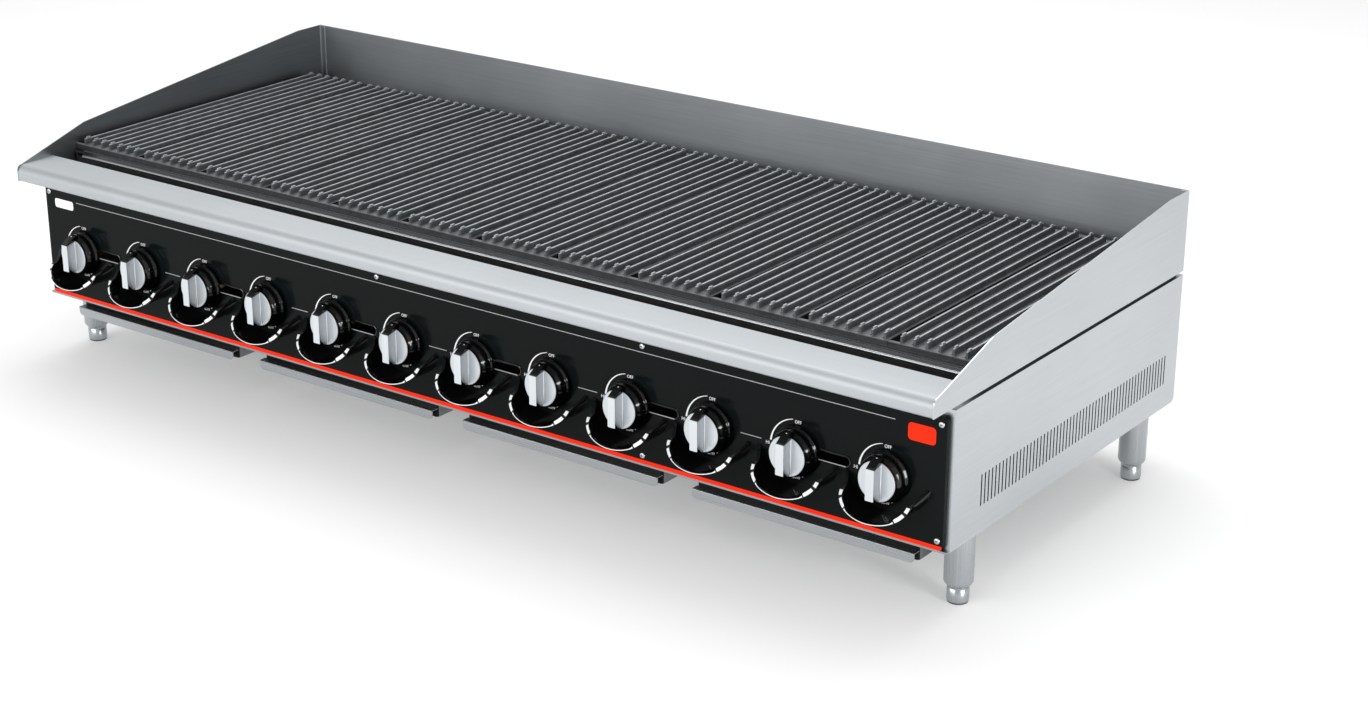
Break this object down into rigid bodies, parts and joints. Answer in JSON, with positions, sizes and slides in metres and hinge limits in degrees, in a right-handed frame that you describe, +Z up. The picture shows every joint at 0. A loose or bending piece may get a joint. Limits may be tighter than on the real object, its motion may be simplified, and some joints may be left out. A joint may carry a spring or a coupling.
{
  "type": "countertop gas charbroiler",
  "caption": "Low wide countertop gas charbroiler: row of lift-out grates between splashes, glossy control panel with guarded knobs, pull-out drip trays, short adjustable legs.",
  "frame": {"origin": "on the counter, under the middle of the bounding box", "axes": "+X to the right along the control panel, +Y to the back, +Z up"},
  "size_m": [1.8288, 0.8, 0.454],
  "materials": {
    "stainless": "brushed",
    "black_enamel": "glossy",
    "black_plastic": "glossy",
    "cast_iron": "rough",
    "dark_steel": "matte",
    "tray_steel": "satin",
    "foot_steel": "satin",
    "brass": "satin"
  },
  "bodies": {
    "frame": {"left_side_panel": "stainless", "right_side_panel": "stainless", "back_panel": "stainless", "front_bottom_rail": "stainless", "rear_bottom_rail": "stainless", "side_bottom_rails": "stainless", "front_top_rail": "stainless", "control_panel": "black_enamel", "panel_screws": "stainless", "front_lip": "stainless", "left_splash": "stainless", "right_splash": "stainless", "back_splash": "stainless", "firebox_left_wall": "dark_steel", "firebox_right_wall": "dark_steel", "firebox_front_wall": "dark_steel", "firebox_rear_wall": "dark_steel", "grate_rails": "stainless", "burner_supports": "dark_steel", "burners": "dark_steel", "radiants": "cast_iron", "manifold_pipe": "dark_steel", "supply_pipe": "dark_steel", "gas_valves": "brass", "knob_guards": "black_plastic", "tray_runners": "stainless", "leg_sleeves": "stainless"},
    "knob_01": {"knob_01": "black_plastic"},
    "grate_01": {"grate_01": "cast_iron"},
    "knob_02": {"knob_02": "black_plastic"},
    "grate_02": {"grate_02": "cast_iron"},
    "knob_03": {"knob_03": "black_plastic"},
    "grate_03": {"grate_03": "cast_iron"},
    "knob_04": {"knob_04": "black_plastic"},
    "grate_04": {"grate_04": "cast_iron"},
    "knob_05": {"knob_05": "black_plastic"},
    "grate_05": {"grate_05": "cast_iron"},
    "knob_06": {"knob_06": "black_plastic"},
    "grate_06": {"grate_06": "cast_iron"},
    "knob_07": {"knob_07": "black_plastic"},
    "grate_07": {"grate_07": "cast_iron"},
    "knob_08": {"knob_08": "black_plastic"},
    "grate_08": {"grate_08": "cast_iron"},
    "knob_09": {"knob_09": "black_plastic"},
    "grate_09": {"grate_09": "cast_iron"},
    "knob_10": {"knob_10": "black_plastic"},
    "grate_10": {"grate_10": "cast_iron"},
    "knob_11": {"knob_11": "black_plastic"},
    "grate_11": {"grate_11": "cast_iron"},
    "knob_12": {"knob_12": "black_plastic"},
    "grate_12": {"grate_12": "cast_iron"},
    "drip_tray_1": {"drip_tray_1": "tray_steel"},
    "drip_tray_2": {"drip_tray_2": "tray_steel"},
    "drip_tray_3": {"drip_tray_3": "tray_steel"},
    "drip_tray_4": {"drip_tray_4": "tray_steel"},
    "foot_front_left": {"foot_front_left": "foot_steel"},
    "foot_front_right": {"foot_front_right": "foot_steel"},
    "foot_rear_left": {"foot_rear_left": "foot_steel"},
    "foot_rear_right": {"foot_rear_right": "foot_steel"}
  },
  "joints": [
    {"name": "knob_01_turn", "type": "hinge", "parent": "frame", "child": "knob_01", "pos_m": [-0.8151, -0.3375, 0.2], "axis": [0, -1, 0], "range_deg": [0, 200]},
    {"name": "grate_01_lift", "type": "slide", "parent": "frame", "child": "grate_01", "axis": [0, 0, 1], "range_m": [0, 0.15]},
    {"name": "knob_02_turn", "type": "hinge", "parent": "frame", "child": "knob_02", "pos_m": [-0.6669, -0.3375, 0.2], "axis": [0, -1, 0], "range_deg": [0, 200]},
    {"name": "grate_02_lift", "type": "slide", "parent": "frame", "child": "grate_02", "axis": [0, 0, 1], "range_m": [0, 0.15]},
    {"name": "knob_03_turn", "type": "hinge", "parent": "frame", "child": "knob_03", "pos_m": [-0.5187, -0.3375, 0.2], "axis": [0, -1, 0], "range_deg": [0, 200]},
    {"name": "grate_03_lift", "type": "slide", "parent": "frame", "child": "grate_03", "axis": [0, 0, 1], "range_m": [0, 0.15]},
    {"name": "knob_04_turn", "type": "hinge", "parent": "frame", "child": "knob_04", "pos_m": [-0.3705, -0.3375, 0.2], "axis": [0, -1, 0], "range_deg": [0, 200]},
    {"name": "grate_04_lift", "type": "slide", "parent": "frame", "child": "grate_04", "axis": [0, 0, 1], "range_m": [0, 0.15]},
    {"name": "knob_05_turn", "type": "hinge", "parent": "frame", "child": "knob_05", "pos_m": [-0.2223, -0.3375, 0.2], "axis": [0, -1, 0], "range_deg": [0, 200]},
    {"name": "grate_05_lift", "type": "slide", "parent": "frame", "child": "grate_05", "axis": [0, 0, 1], "range_m": [0, 0.15]},
    {"name": "knob_06_turn", "type": "hinge", "parent": "frame", "child": "knob_06", "pos_m": [-0.0741, -0.3375, 0.2], "axis": [0, -1, 0], "range_deg": [0, 200]},
    {"name": "grate_06_lift", "type": "slide", "parent": "frame", "child": "grate_06", "axis": [0, 0, 1], "range_m": [0, 0.15]},
    {"name": "knob_07_turn", "type": "hinge", "parent": "frame", "child": "knob_07", "pos_m": [0.0741, -0.3375, 0.2], "axis": [0, -1, 0], "range_deg": [0, 200]},
    {"name": "grate_07_lift", "type": "slide", "parent": "frame", "child": "grate_07", "axis": [0, 0, 1], "range_m": [0, 0.15]},
    {"name": "knob_08_turn", "type": "hinge", "parent": "frame", "child": "knob_08", "pos_m": [0.2223, -0.3375, 0.2], "axis": [0, -1, 0], "range_deg": [0, 200]},
    {"name": "grate_08_lift", "type": "slide", "parent": "frame", "child": "grate_08", "axis": [0, 0, 1], "range_m": [0, 0.15]},
    {"name": "knob_09_turn", "type": "hinge", "parent": "frame", "child": "knob_09", "pos_m": [0.3705, -0.3375, 0.2], "axis": [0, -1, 0], "range_deg": [0, 200]},
    {"name": "grate_09_lift", "type": "slide", "parent": "frame", "child": "grate_09", "axis": [0, 0, 1], "range_m": [0, 0.15]},
    {"name": "knob_10_turn", "type": "hinge", "parent": "frame", "child": "knob_10", "pos_m": [0.5187, -0.3375, 0.2], "axis": [0, -1, 0], "range_deg": [0, 200]},
    {"name": "grate_10_lift", "type": "slide", "parent": "frame", "child": "grate_10", "axis": [0, 0, 1], "range_m": [0, 0.15]},
    {"name": "knob_11_turn", "type": "hinge", "parent": "frame", "child": "knob_11", "pos_m": [0.6669, -0.3375, 0.2], "axis": [0, -1, 0], "range_deg": [0, 200]},
    {"name": "grate_11_lift", "type": "slide", "parent": "frame", "child": "grate_11", "axis": [0, 0, 1], "range_m": [0, 0.15]},
    {"name": "knob_12_turn", "type": "hinge", "parent": "frame", "child": "knob_12", "pos_m": [0.8151, -0.3375, 0.2], "axis": [0, -1, 0], "range_deg": [0, 200]},
    {"name": "grate_12_lift", "type": "slide", "parent": "frame", "child": "grate_12", "axis": [0, 0, 1], "range_m": [0, 0.15]},
    {"name": "drip_tray_1_pull", "type": "slide", "parent": "frame", "child": "drip_tray_1", "axis": [0, -1, 0], "range_m": [0, 0.55]},
    {"name": "drip_tray_2_pull", "type": "slide", "parent": "frame", "child": "drip_tray_2", "axis": [0, -1, 0], "range_m": [0, 0.55]},
    {"name": "drip_tray_3_pull", "type": "slide", "parent": "frame", "child": "drip_tray_3", "axis": [0, -1, 0], "range_m": [0, 0.55]},
    {"name": "drip_tray_4_pull", "type": "slide", "parent": "frame", "child": "drip_tray_4", "axis": [0, -1, 0], "range_m": [0, 0.55]},
    {"name": "foot_front_left_level", "type": "slide", "parent": "frame", "child": "foot_front_left", "axis": [0, 0, -1], "range_m": [0, 0.025]},
    {"name": "foot_front_right_level", "type": "slide", "parent": "frame", "child": "foot_front_right", "axis": [0, 0, -1], "range_m": [0, 0.025]},
    {"name": "foot_rear_left_level", "type": "slide", "parent": "frame", "child": "foot_rear_left", "axis": [0, 0, -1], "range_m": [0, 0.025]},
    {"name": "foot_rear_right_level", "type": "slide", "parent": "frame", "child": "foot_rear_right", "axis": [0, 0, -1], "range_m": [0, 0.025]}
  ]
}
